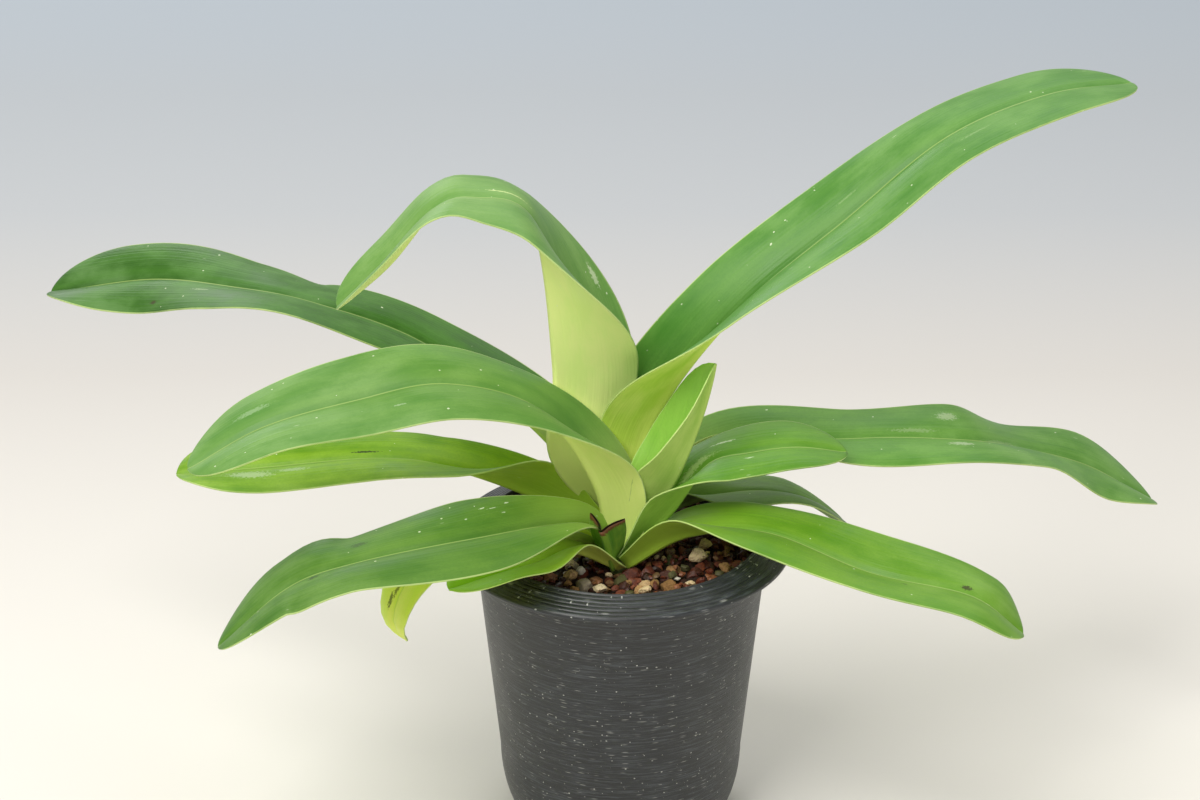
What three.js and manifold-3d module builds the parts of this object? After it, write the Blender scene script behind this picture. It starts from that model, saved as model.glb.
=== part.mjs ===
import * as THREE from "three";
import { mergeVertices } from "three/addons/utils/BufferGeometryUtils.js";
import Module from "manifold-3d";

// A potted broad-leaved slipper orchid out of flower: a plastic pot, the potting mix, the short
// stem, thirteen strap leaves and one leaf base that was cut off. Millimetres, +Z up, with the
// origin on the pot's axis at its base. +X runs to the right of the plant's broad side, -Y in front.

// Pot
const RIM_RADIUS = 60; // outermost edge of the flange
const RIM_EDGE_Z = 108; // height of that edge
const RIM_TOP_Z = 112; // inner lip, which is the pot's highest circle
const RIM_INNER_RADIUS = 48.8;
const RIM_LIP = 0.5; // small bevel round the opening
const RIM_INNER_BAND = 1; // plain band between the opening and the first ring
const RIM_OUTER_BAND = 1.4; // plain band outside the last ring
const RIM_GROOVES = 3; // fine rings moulded in the flange
const GROOVE_DEPTH = 0.3;
const GROOVE_WIDTH = 1.2;
const GROOVE_DEEPEST = 0.8; // distance of its deepest line from its outer edge
const RIM_SKIRT = 2.2; // height of the flange's outer face, with its rounding
const BODY_TOP_RADIUS = 51.2; // outside of the wall under the flange
const BODY_TOP_Z = 104;
const BODY_LOW_RADIUS = 43.4; // where the taper turns into the rounded foot
const BODY_LOW_Z = 27;
const BASE_RADIUS = 33;
const WALL = 1.7;
const FLOOR = 2.4;
const DRAIN_HOLES = 6;
const DRAIN_RING_RADIUS = 20;
const DRAIN_HOLE_RADIUS = 3.5;
const POT_SIDES = 40;

// Potting mix
const MIX_TOP_Z = 102.2;
const MIX_CLEARANCE = 0.3;
const GRAIN_SPACING = 8.2;
const GRAIN_RADIUS = [3.2, 4.8]; // least and greatest
const GRAIN_SINK = [1.2, -0.2]; // deepest and highest middle of a grain, below the top of the mix
const GRAIN_SEED = 7;

// Stem: an oval stump that stands in a plain hole in the mix
const STEM_CENTRE = [-1, -1];
const STEM_HALF_WIDTH = 6;
const STEM_HALF_DEPTH = 13;
const STEM_FOOT_Z = 86;
const STEM_TOP_Z = 107;
const STEM_SIDES = 20;

// Leaves
const BLADE_THICKNESS = 1;
const KEEL_HALF_THICKNESS = 1; // above and below the folded midrib, at most
const STATION_STEP = 9; // spacing of the cross-sections along a leaf
const TIP_STATIONS = 3; // further cross-sections in the rounded tip
const CLEARANCE = 0.35; // kept between one leaf and the next where their bases clasp
const HALF_BLADE_ARCH = 0.07; // rise of each half blade over its own half width
const MID_GREEN = 0x5f9a3c;
const YELLOW_GREEN = 0x98bf45;
const DARK_GREEN = 0x3f6f3a;
const ROLL = 3; // columns of a leaf's stations after x, y and z
const FOLD = 4;
const WIDTH = 5;

// heading is the direction that a leaf leaves the stem in, in degrees from +X towards +Y, and tip
// is the part of its length that is rounded off. Its stations run from the stem to the tip, each
// with the midrib's x, y and z, the blade's roll about the midrib, the angle that each half of the
// blade is folded up by, and the full width.
const LEAVES = {
  leaf_centre_arched: {
    heading: 186,
    tip: 0.25,
    colour: MID_GREEN,
    stations: [
      [0, 9, 104, -8, 84, 12],
      [-24, 11, 133, -5, 72, 30],
      [-23, 8, 169, 3, 81, 58],
      [-30, 5, 225, -2, 0, 46],
      [-50, 4, 234, -3, 0, 37],
      [-63, 3, 230, 2, 9, 34],
      [-79, 1, 211, 2, 20, 34],
      [-97, 6, 193, -10, 25, 34],
    ],
  },
  leaf_upper_right: {
    heading: 20,
    tip: 0.14,
    colour: MID_GREEN,
    stations: [
      [6, 9, 105, -26, 67, 16],
      [10, 10, 145, -20, 76, 37],
      [38, 6, 190, 5, 33, 38],
      [77, 18, 221, 10, 12, 40],
      [111, 30, 246, 7, 2, 37],
      [148, 54, 253, 3, 1, 38],
      [180, 72, 251, 2, 8, 38],
    ],
  },
  leaf_short_upright: {
    heading: 8,
    tip: 0.4,
    colour: MID_GREEN,
    stations: [
      [0, -6, 104, -9, 80, 8],
      [9, -5, 117, -6, 80, 18],
      [17, -4, 129, -1, 75, 32],
      [23, -3, 143, 4, 57, 31],
      [28, -2, 158, 10, 49, 27],
      [32, -3, 176, 12, 39, 25],
    ],
  },
  leaf_front_left: {
    heading: 196,
    tip: 0.14,
    colour: MID_GREEN,
    stations: [
      [-5, -6, 104, -15, 70, 24],
      [-9, -6, 131, -2, 63, 34],
      [-28, -14, 164, -10, 9, 35],
      [-59, -24, 178, -19, 3, 37],
      [-89, -31, 175, -21, 6, 37],
      [-119, -39, 169, -9, 5, 36],
      [-144, -44, 156, 0, 3, 36],
    ],
  },
  leaf_short_right: {
    heading: 2,
    tip: 0.22,
    colour: MID_GREEN,
    stations: [
      [1, -8, 104, 13, 49, 14],
      [17, -5, 120, 5, 63, 27],
      [30, -1, 137, 6, 3, 29],
      [45, 0, 141, 10, 3, 30],
      [61, -2, 144, 7, 3, 30],
      [78, 0, 141, 1, 9, 30],
    ],
  },
  leaf_back_left: {
    heading: 152,
    tip: 0.12,
    colour: MID_GREEN,
    stations: [
      [-4, 12, 104, 3, 69, 14],
      [-27, 32, 131, 7, 47, 33],
      [-69, 53, 158, 4, 10, 33],
      [-109, 48, 177, 7, 1, 34],
      [-140, 63, 177, -8, 1, 35],
      [-173, 87, 170, -28, 3, 35],
      [-213, 103, 158, -12, 24, 34],
    ],
  },
  leaf_far_right: {
    heading: 20,
    tip: 0.16,
    colour: MID_GREEN,
    stations: [
      [6, 9, 104, -13, 63, 14],
      [35, 25, 129, -13, 43, 32],
      [84, 22, 136, 9, 2, 34],
      [122, 27, 133, 13, 10, 35],
      [147, 47, 120, 2, 4, 34],
      [174, 63, 105, 20, 2, 35],
      [200, 74, 85, 4, 15, 34],
    ],
  },
  leaf_mid_left: {
    heading: 172,
    tip: 0.12,
    colour: MID_GREEN,
    stations: [
      [-6, 4, 104, 15, 81, 15],
      [-31, 12, 118, 31, 57, 31],
      [-62, 8, 132, 2, 13, 32],
      [-87, 12, 133, -7, 3, 32],
      [-125, 11, 130, -12, 3, 32],
      [-156, 9, 128, -3, 16, 32],
    ],
  },
  leaf_low_left: {
    heading: 210,
    tip: 0.16,
    colour: MID_GREEN,
    stations: [
      [-5, -5, 107, -69, 36, 9],
      [-16, -17, 122, -16, 32, 18],
      [-50, -50, 133, -14, 3, 37],
      [-89, -58, 128, 4, -1, 35],
      [-112, -55, 117, 9, 3, 34],
      [-135, -61, 98, 21, 3, 34],
    ],
  },
  leaf_low_right: {
    heading: -24,
    tip: 0.12,
    colour: MID_GREEN,
    stations: [
      [2, -13, 103, -8, 41, 14],
      [23, -12, 115, -11, 34, 28],
      [50, -24, 122, 1, 5, 33],
      [84, -38, 114, 6, 15, 35],
      [117, -55, 114, -2, 3, 34],
      [134, -58, 101, -17, 14, 34],
    ],
  },
  leaf_small_front: {
    heading: 215,
    tip: 0.2,
    colour: YELLOW_GREEN,
    stations: [
      [-1, -14, 103, -2, 26, 10],
      [-17, -20, 113, 14, 20, 20],
      [-30, -35, 116, 7, 3, 23],
      [-41, -44, 117, 4, 11, 24],
      [-58, -52, 115, 2, 12, 24],
    ],
  },
  leaf_back_right: {
    heading: 22,
    tip: 0.25,
    colour: DARK_GREEN,
    stations: [
      [6, 13, 104, -5, 52, 16],
      [22, 23, 109, -8, 44, 25],
      [42, 24, 114, -3, 3, 27],
      [62, 25, 112, -2, 6, 27],
      [81, 30, 98, 0, 9, 27],
    ],
  },
  leaf_hanging: {
    heading: 206,
    tip: 0.4,
    colour: YELLOW_GREEN,
    stations: [
      [-5, -4, 104, 1, 65, 8],
      [-28, -15, 116, -1, 46, 17],
      [-53, -26, 119, -4, 20, 22],
      [-72, -32, 109, -9, 4, 22],
      [-78, -37, 96, -10, 3, 22],
      [-74, -34, 86, -12, 19, 20],
    ],
  },
  cut_leaf_base: {
    heading: 235,
    tip: 0,
    colour: MID_GREEN,
    stations: [
      [-3, -15, 103, 36, 60, 13],
      [-5, -20, 115, 26, 44, 17],
      [-7, -24, 123, 10, 44, 18],
    ],
  },
};

// Where two leaves would cross at the stem, the one nearer the front of this list stays whole.
const WHOLE_FIRST = [
  "cut_leaf_base",
  "leaf_short_right",
  "leaf_low_right",
  "leaf_front_left",
  "leaf_upper_right",
  "leaf_short_upright",
  "leaf_centre_arched",
  "leaf_small_front",
  "leaf_low_left",
  "leaf_mid_left",
  "leaf_hanging",
  "leaf_back_left",
  "leaf_far_right",
  "leaf_back_right",
];

const wasm = await Module();
wasm.setup();

const radians = THREE.MathUtils.degToRad;

// A repeatable draw between 0 and 1
function makeDraw(seed) {
  let state = seed;
  return () => {
    state = (state * 16807) % 2147483647;
    return state / 2147483647;
  };
}

// A closed geometry as a solid that can be cut and joined
function toSolid(geometry) {
  const bare = geometry.clone();
  bare.deleteAttribute("normal");
  bare.deleteAttribute("uv");
  const merged = mergeVertices(bare, 1e-4);
  return new wasm.Manifold(
    new wasm.Mesh({
      numProp: 3,
      vertProperties: merged.attributes.position.array,
      triVerts: new Uint32Array(merged.index.array),
    }),
  );
}

function toGeometry(solid) {
  const mesh = solid.getMesh();
  const geometry = new THREE.BufferGeometry();
  geometry.setAttribute("position", new THREE.BufferAttribute(mesh.vertProperties, 3));
  geometry.setIndex(new THREE.BufferAttribute(mesh.triVerts, 1));
  geometry.computeVertexNormals();
  return geometry;
}

function largestBody(solid) {
  return solid.decompose().reduce((a, b) => (b.volume() > a.volume() ? b : a));
}

// A profile of [radius, height] pairs turned about +Z
function turned(profile, sides) {
  const points = profile.map(([radius, height]) => new THREE.Vector2(radius, height));
  return new THREE.LatheGeometry(points, sides).rotateX(Math.PI / 2);
}

function bodyRadius(z) {
  const slope = (BODY_TOP_RADIUS - BODY_LOW_RADIUS) / (BODY_TOP_Z - BODY_LOW_Z);
  return BODY_LOW_RADIUS + slope * (z - BODY_LOW_Z);
}

// The rounded foot, from the flat base up to the taper, inset by the given amount
function footProfile(inset, floorZ) {
  const foot = [];
  const steps = 6;
  for (let i = 0; i <= steps; i++) {
    const angle = ((Math.PI / 2) * i) / steps;
    const radius = BASE_RADIUS + (BODY_LOW_RADIUS - BASE_RADIUS) * Math.sin(angle);
    const z = floorZ + (BODY_LOW_Z - floorZ) * (1 - Math.cos(angle));
    foot.push([radius - inset, z]);
  }
  return foot;
}

// The flange slopes from the inner lip down to the outer edge, with fine rings cut in it.
function flangeTop() {
  const slope = (RIM_TOP_Z - RIM_EDGE_Z) / (RIM_RADIUS - RIM_INNER_RADIUS);
  const ring =
    (RIM_RADIUS - RIM_INNER_RADIUS - RIM_INNER_BAND - RIM_OUTER_BAND) / RIM_GROOVES;
  const surface = (radius) => RIM_TOP_Z - slope * (radius - RIM_INNER_RADIUS);
  const points = [];
  for (let i = RIM_GROOVES; i >= 1; i--) {
    const outer = RIM_INNER_RADIUS + RIM_INNER_BAND + ring * i;
    points.push([outer, surface(outer)]);
    points.push([outer - GROOVE_DEEPEST, surface(outer) - GROOVE_DEPTH]);
    points.push([outer - GROOVE_WIDTH, surface(outer - GROOVE_WIDTH)]);
  }
  return points;
}

function makePot() {
  const outside = [
    [0, 0],
    ...footProfile(0, 0),
    [BODY_TOP_RADIUS, BODY_TOP_Z],
    [RIM_RADIUS - 1, RIM_EDGE_Z - RIM_SKIRT],
    [RIM_RADIUS, RIM_EDGE_Z - 1],
    [RIM_RADIUS, RIM_EDGE_Z],
  ];
  const inside = [
    [RIM_INNER_RADIUS + RIM_LIP, RIM_TOP_Z],
    [RIM_INNER_RADIUS, RIM_TOP_Z - RIM_LIP],
    [bodyRadius(BODY_TOP_Z) - WALL, BODY_TOP_Z],
    ...footProfile(WALL, FLOOR).reverse(),
    [0, FLOOR],
  ];
  let pot = toSolid(turned([...outside, ...flangeTop(), ...inside], POT_SIDES));
  for (let i = 0; i < DRAIN_HOLES; i++) {
    const angle = (2 * Math.PI * i) / DRAIN_HOLES;
    const hole = new THREE.CylinderGeometry(DRAIN_HOLE_RADIUS, DRAIN_HOLE_RADIUS, 3 * FLOOR, 12)
      .rotateX(Math.PI / 2)
      .translate(DRAIN_RING_RADIUS * Math.cos(angle), DRAIN_RING_RADIUS * Math.sin(angle), 0);
    pot = pot.subtract(toSolid(hole));
  }
  return toGeometry(pot);
}

// An oval prism round the stem's axis
function ovalStem(grow, footZ, topZ, domed) {
  const shoulder = domed ? 4 : 0;
  const profile = [[0, footZ], [1, footZ], [1, topZ - shoulder]];
  if (domed) {
    profile.push([0.8, topZ - 1.5], [0.4, topZ]);
  }
  profile.push([0, topZ]);
  return turned(profile, STEM_SIDES)
    .scale(STEM_HALF_WIDTH + grow, STEM_HALF_DEPTH + grow, 1)
    .translate(STEM_CENTRE[0], STEM_CENTRE[1], 0);
}

// A rough stone: an icosahedron with uneven radii
function grain(draw, x, y, z, radius) {
  const stone = mergeVertices(toBare(new THREE.IcosahedronGeometry(radius, 0)), 1e-4);
  const position = stone.attributes.position;
  for (let i = 0; i < position.count; i++) {
    const swell = 0.78 + 0.4 * draw();
    position.setXYZ(
      i,
      position.getX(i) * swell,
      position.getY(i) * swell,
      position.getZ(i) * swell * 0.8,
    );
  }
  return stone.rotateZ(draw() * Math.PI).translate(x, y, z);
}

function toBare(geometry) {
  geometry.deleteAttribute("normal");
  geometry.deleteAttribute("uv");
  return geometry;
}

function makeMix() {
  const draw = makeDraw(GRAIN_SEED);
  const edge = bodyRadius(MIX_TOP_Z) - WALL - MIX_CLEARANCE;
  const profile = [
    [0, FLOOR + MIX_CLEARANCE],
    ...footProfile(WALL + MIX_CLEARANCE, FLOOR + MIX_CLEARANCE),
    [edge, MIX_TOP_Z],
    [0, MIX_TOP_Z],
  ];
  const grains = [];
  const rows = Math.ceil(edge / GRAIN_SPACING);
  for (let row = -rows; row <= rows; row++) {
    for (let column = -rows; column <= rows; column++) {
      const x = (column + (row % 2 ? 0.5 : 0) + 0.5 * (draw() - 0.5)) * GRAIN_SPACING;
      const y = (row + 0.5 * (draw() - 0.5)) * GRAIN_SPACING * 0.87;
      const radius = THREE.MathUtils.lerp(GRAIN_RADIUS[0], GRAIN_RADIUS[1], draw());
      const z = MIX_TOP_Z - THREE.MathUtils.lerp(GRAIN_SINK[0], GRAIN_SINK[1], draw());
      const stone = grain(draw, x, y, z, radius);
      const inStem = Math.hypot(
        (x - STEM_CENTRE[0]) / (STEM_HALF_WIDTH + radius),
        (y - STEM_CENTRE[1]) / (STEM_HALF_DEPTH + radius),
      );
      if (Math.hypot(x, y) < edge - 1.2 * radius && inStem > 0.85) {
        grains.push(toSolid(stone));
      }
    }
  }
  const hole = toSolid(ovalStem(CLEARANCE, STEM_FOOT_Z - CLEARANCE, RIM_TOP_Z, false));
  const heap = grains.reduce((a, b) => a.add(b), toSolid(turned(profile, POT_SIDES)));
  return toGeometry(largestBody(heap.subtract(hole)));
}

// One column of a leaf's stations at t, which runs from 0 at the stem to 1 at the tip, along a
// Catmull-Rom curve through the listed values
function smoothValue(leaf, column, t) {
  const values = leaf.stations.map((station) => station[column]);
  const last = values.length - 1;
  const u = Math.min(t * last, last - 1e-9);
  const i = Math.floor(u);
  const f = u - i;
  const at = (k) => {
    if (k < 0) return 2 * values[0] - values[1];
    if (k > last) return 2 * values[last] - values[last - 1];
    return values[k];
  };
  const [a, b, c, d] = [at(i - 1), at(i), at(i + 1), at(i + 2)];
  return (
    0.5 * (2 * b + (c - a) * f + (2 * a - 5 * b + 4 * c - d) * f * f + (3 * b - a - 3 * c + d) * f ** 3)
  );
}

function midribCurve(leaf) {
  const points = leaf.stations.map(([x, y, z]) => new THREE.Vector3(x, y, z));
  return new THREE.CatmullRomCurve3(points, false, "catmullrom");
}

// A leaf's cross-section at t: where the midrib is, and the across and upward directions there
function section(leaf, midrib, t) {
  const step = 1e-3;
  const centre = midrib.getPoint(t);
  const along = midrib.getPoint(Math.min(t + step, 1));
  along.sub(midrib.getPoint(Math.max(t - step, 0))).normalize();
  const heading = radians(leaf.heading);
  const left = new THREE.Vector3(-Math.sin(heading), Math.cos(heading), 0);
  left.addScaledVector(along, -left.dot(along)).normalize();
  const up = new THREE.Vector3().crossVectors(along, left);
  const roll = radians(smoothValue(leaf, ROLL, t));
  const across = left.clone().multiplyScalar(Math.cos(roll)).addScaledVector(up, Math.sin(roll));
  up.multiplyScalar(Math.cos(roll)).addScaledVector(left, -Math.sin(roll));
  return { centre, across, up, fold: radians(smoothValue(leaf, FOLD, t)) };
}

// reached is the share of the leaf's length that lies before t
function halfWidth(leaf, t, reached) {
  const rounded = leaf.tip > 0 ? Math.max(0, (reached - (1 - leaf.tip)) / leaf.tip) : 0;
  return 0.5 * smoothValue(leaf, WIDTH, t) * Math.sqrt(Math.max(0, 1 - rounded ** 2));
}

// Even steps along the leaf, then steps that crowd towards the end of the rounded tip
function stationAt(leaf, i, stations) {
  const before = stations - TIP_STATIONS;
  const start = 1 - leaf.tip * 0.6;
  if (i <= before) return (start * i) / before;
  const angle = ((Math.PI / 2) * (i - before)) / TIP_STATIONS;
  return start + (1 - start) * Math.sin(angle);
}

// A folded strap: two half blades that meet in the keel, thicker than the real leaf's margin
function makeBlade(leaf, grow) {
  const midrib = midribCurve(leaf);
  const stations = Math.max(6, Math.round(midrib.getLength() / STATION_STEP)) + TIP_STATIONS;
  const across = [-1, -0.5, 0, 0.5, 1];
  const half = BLADE_THICKNESS / 2 + grow;
  const positions = [];
  for (let i = 0; i <= stations; i++) {
    const reached = stationAt(leaf, i, stations);
    const t = midrib.getUtoTmapping(reached);
    const { centre, across: side, up, fold } = section(leaf, midrib, t);
    const width = Math.max(halfWidth(leaf, t, reached), 0.9) + grow;
    const keel = Math.min(half / Math.cos(fold), KEEL_HALF_THICKNESS + grow);
    const endShift = i === 0 ? -grow : i === stations ? grow : 0;
    const along = new THREE.Vector3().crossVectors(side, up);
    for (const face of [1, -1]) {
      for (const v of across) {
        const sign = Math.sign(v);
        const reach = width * Math.abs(v);
        const arch = HALF_BLADE_ARCH * width * Math.cos(fold) * 4 * Math.abs(v) * (1 - Math.abs(v));
        const lift = v === 0 ? face * keel : face * half * Math.cos(fold);
        const shift = v === 0 ? 0 : -face * half * Math.sin(fold);
        const point = centre
          .clone()
          .addScaledVector(side, sign * (reach * Math.cos(fold) - arch * Math.sin(fold) + shift))
          .addScaledVector(up, reach * Math.sin(fold) + arch * Math.cos(fold) + lift)
          .addScaledVector(along, endShift);
        positions.push(point.x, point.y, point.z);
      }
    }
  }
  return closedStrip(positions, stations, across.length);
}

// Joins rows of points, each an upper and a lower run, into one closed surface. Both faces are
// split along the same diagonals, so that they never cross.
function closedStrip(positions, stations, run) {
  const index = [];
  const id = (i, face, j) => i * 2 * run + face * run + j;
  const quad = (a, b, c, d) => index.push(a, b, c, a, c, d);
  for (let i = 0; i < stations; i++) {
    for (let j = 0; j < run - 1; j++) {
      quad(id(i, 0, j), id(i + 1, 0, j), id(i + 1, 0, j + 1), id(i, 0, j + 1));
      index.push(id(i, 1, j), id(i + 1, 1, j + 1), id(i + 1, 1, j));
      index.push(id(i, 1, j), id(i, 1, j + 1), id(i + 1, 1, j + 1));
    }
    quad(id(i, 0, 0), id(i, 1, 0), id(i + 1, 1, 0), id(i + 1, 0, 0));
    quad(id(i, 0, run - 1), id(i + 1, 0, run - 1), id(i + 1, 1, run - 1), id(i, 1, run - 1));
  }
  for (let j = 0; j < run - 1; j++) {
    quad(id(0, 0, j), id(0, 0, j + 1), id(0, 1, j + 1), id(0, 1, j));
    quad(id(stations, 0, j), id(stations, 1, j), id(stations, 1, j + 1), id(stations, 0, j + 1));
  }
  const geometry = new THREE.BufferGeometry();
  geometry.setAttribute("position", new THREE.Float32BufferAttribute(positions, 3));
  geometry.setIndex(index);
  return geometry;
}

// Every leaf, each cut back from the stem and from the leaves that stay whole before it
function makeLeaves() {
  const made = {};
  const taken = [toSolid(ovalStem(CLEARANCE, STEM_FOOT_Z, STEM_TOP_Z + CLEARANCE, true))];
  for (const name of WHOLE_FIRST) {
    const blade = toSolid(makeBlade(LEAVES[name], 0));
    made[name] = largestBody(taken.reduce((solid, other) => solid.subtract(other), blade));
    taken.push(toSolid(makeBlade(LEAVES[name], CLEARANCE)));
  }
  return made;
}

function addPart(group, name, geometry, colour, roughness) {
  const material = new THREE.MeshStandardMaterial({ color: colour, roughness, metalness: 0 });
  const mesh = new THREE.Mesh(geometry, material);
  mesh.name = name;
  group.add(mesh);
}

const orchid = new THREE.Group();
addPart(orchid, "pot", makePot(), 0x2f3436, 0.55);
addPart(orchid, "potting_mix", makeMix(), 0x4a2c20, 0.95);
addPart(orchid, "stem", ovalStem(0, STEM_FOOT_Z, STEM_TOP_Z, true), 0x8a9a4a, 0.7);
for (const [name, solid] of Object.entries(makeLeaves())) {
  addPart(orchid, name, toGeometry(solid), LEAVES[name].colour, 0.45);
}

export default orchid;
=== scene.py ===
import math
import random

import bpy
import numpy as np
from mathutils import Euler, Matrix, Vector, noise


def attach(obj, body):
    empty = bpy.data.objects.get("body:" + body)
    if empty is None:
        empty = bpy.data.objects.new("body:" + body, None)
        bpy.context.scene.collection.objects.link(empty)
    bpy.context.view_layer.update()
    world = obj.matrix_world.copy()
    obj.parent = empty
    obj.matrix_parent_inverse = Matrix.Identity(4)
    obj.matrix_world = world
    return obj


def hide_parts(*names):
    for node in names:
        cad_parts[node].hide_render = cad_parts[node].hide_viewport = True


# The looks of a potted broad-leaved slipper orchid: fine leaves with their veins, margins and
# marks, the moulded pot with its scratches and pale flecks, and loose bark and pumice on top of
# the mix. Sizes are in millimetres until a mesh is made, then in metres.

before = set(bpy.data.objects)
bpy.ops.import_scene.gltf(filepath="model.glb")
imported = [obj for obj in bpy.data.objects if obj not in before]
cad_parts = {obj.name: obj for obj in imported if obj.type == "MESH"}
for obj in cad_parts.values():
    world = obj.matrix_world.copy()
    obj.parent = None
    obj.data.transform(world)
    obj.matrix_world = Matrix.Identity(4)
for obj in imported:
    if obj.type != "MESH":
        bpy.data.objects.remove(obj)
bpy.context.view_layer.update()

MM = 0.001
SEED = 11

# Pot
RIM_RADIUS = 60
RIM_EDGE_Z = 108
RIM_TOP_Z = 112
RIM_INNER_RADIUS = 48.8
RIM_RINGS = (58.2, 56.6, 55.0, 53.4, 51.8, 50.2)  # radii of the fine rings in the flange
RING_SECTION = ((0.6, 0.0), (0.25, 0.02), (0.0, 0.45), (-0.25, 0.02), (-0.6, 0.0))
BODY_TOP_RADIUS = 51.2
BODY_TOP_Z = 104
BODY_LOW_RADIUS = 43.4
BODY_LOW_Z = 27
BODY_STEPS = 24
BODY_END_Z = BODY_TOP_Z - 0.8  # where the wall starts to turn into the flange
BASE_RADIUS = 33
FOOT_STEPS = 14
WALL = 1.7
FLOOR = 2.4
POT_SIDES = 160
DRAIN_HOLES = 6
DRAIN_RING_RADIUS = 20
DRAIN_HOLE_RADIUS = 3.5
DRAIN_HOLE_SIDES = 24

# Potting mix
MIX_TOP_Z = 100.4
MIX_GAP = 0.1  # between the mix and the pot
MIX_UNEVENNESS = 0.9
MIX_SIDES = 96
MIX_RINGS = 16
GRAIN_AREA_RADIUS = 48.2
GRAIN_CLOSENESS = 0.72  # how near two grains may come, as a share of their radii together
COARSE_RADIUS = 1.9  # grains above it get the finer ball
EDGE_ANGLE = 38  # faces of a grain that meet more steeply than this keep a sharp edge
BARK_SHARE = 0.82
BARK_AND_PUMICE_SHARE = 0.92
GRAIN_JAG = {"bark": 0.42, "pumice": 0.34, "grit": 0.34}
GRAIN_CUTS = {"bark": 7, "pumice": 4, "grit": 4}  # flat faces that are broken off a grain

# Layers of loose grains: grains tried, least and greatest radius, height
GRAIN_LAYERS = [(420, 2.6, 3.4, 101.2), (620, 1.7, 2.5, 102.3), (900, 0.9, 1.6, 103.0)]

# Larger grains that stand out: kind, x, y, z, radius, shape, tone and how jagged
LARGE_GRAINS = [
    ("pumice", 26.8, -7.2, 104.4, 3.0, (1.2, 0.95, 0.85), 0.85, 0.3),
    ("pumice", 29.5, 1.9, 104.2, 2.3, (1.2, 0.9, 0.8), 0.7, 0.3),
    ("pumice", 36.0, -14.5, 103.6, 2.2, (1.1, 0.9, 0.8), 0.4, 0.3),
    ("pumice", -17.8, -19.7, 103.6, 2.3, (1.2, 0.9, 0.75), 0.55, 0.3),
    ("pumice", 8.0, -30.7, 103.6, 2.2, (1.3, 0.9, 0.7), 0.8, 0.3),
    ("pumice", -7.5, -29.7, 103.4, 2.0, (1.2, 0.9, 0.7), 0.95, 0.3),
    ("grit", -14.0, -17.5, 104.2, 1.8, (1.0, 1.0, 0.95), 0.97, 0.08),
    ("grit", 17.5, -19.7, 103.6, 1.5, (1.2, 1.0, 0.9), 0.3, 0.3),
]

# Stem
STEM_CENTRE = (-1, -1)
STEM_HALF_WIDTH = 6
STEM_HALF_DEPTH = 13
STEM_FOOT_Z = 86
STEM_TOP_Z = 107
STEM_SIDES = 48
STEM_BULGES = 0.05

# The stem's levels: share of its full width, height
STEM_LEVELS = [
    (0.01, STEM_FOOT_Z),
    (1, STEM_FOOT_Z),
    (1, 96),
    (0.97, 101),
    (0.92, 104),
    (0.78, 105.8),
    (0.45, 106.8),
    (0.01, STEM_TOP_Z),
]

# Leaves
BLADE_HALF_THICKNESS = 0.42
MARGIN_THINNING = 0.45  # share of its thickness that a blade loses towards the margins
HALF_BLADE_ARCH = 0.07
GROOVE_DEPTH = 0.38
GROOVE_REACH = 1.5
KEEL_HEIGHT = 0.55
KEEL_REACH = 1.7
NARROW_HALF = 8  # a blade with less half width has a shallower groove and keel
LEAST_HALF = 0.5
MARGIN_WAVE = 0.35
WAVE_LENGTH = 42
WAVE_START = 60  # distance from the stem at which the margins wave fully
ROW_SPACING = 2.4
FEWEST_ROWS = 14
FINE_STEPS = 600
HALF_SPREAD = np.array(
    [0, 0.02, 0.05, 0.1, 0.17, 0.26, 0.36, 0.47, 0.58, 0.69, 0.79, 0.88, 0.94, 0.98, 1.0]
)
SPREAD = np.concatenate([-HALF_SPREAD[:0:-1], HALF_SPREAD])  # columns from margin to margin

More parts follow.
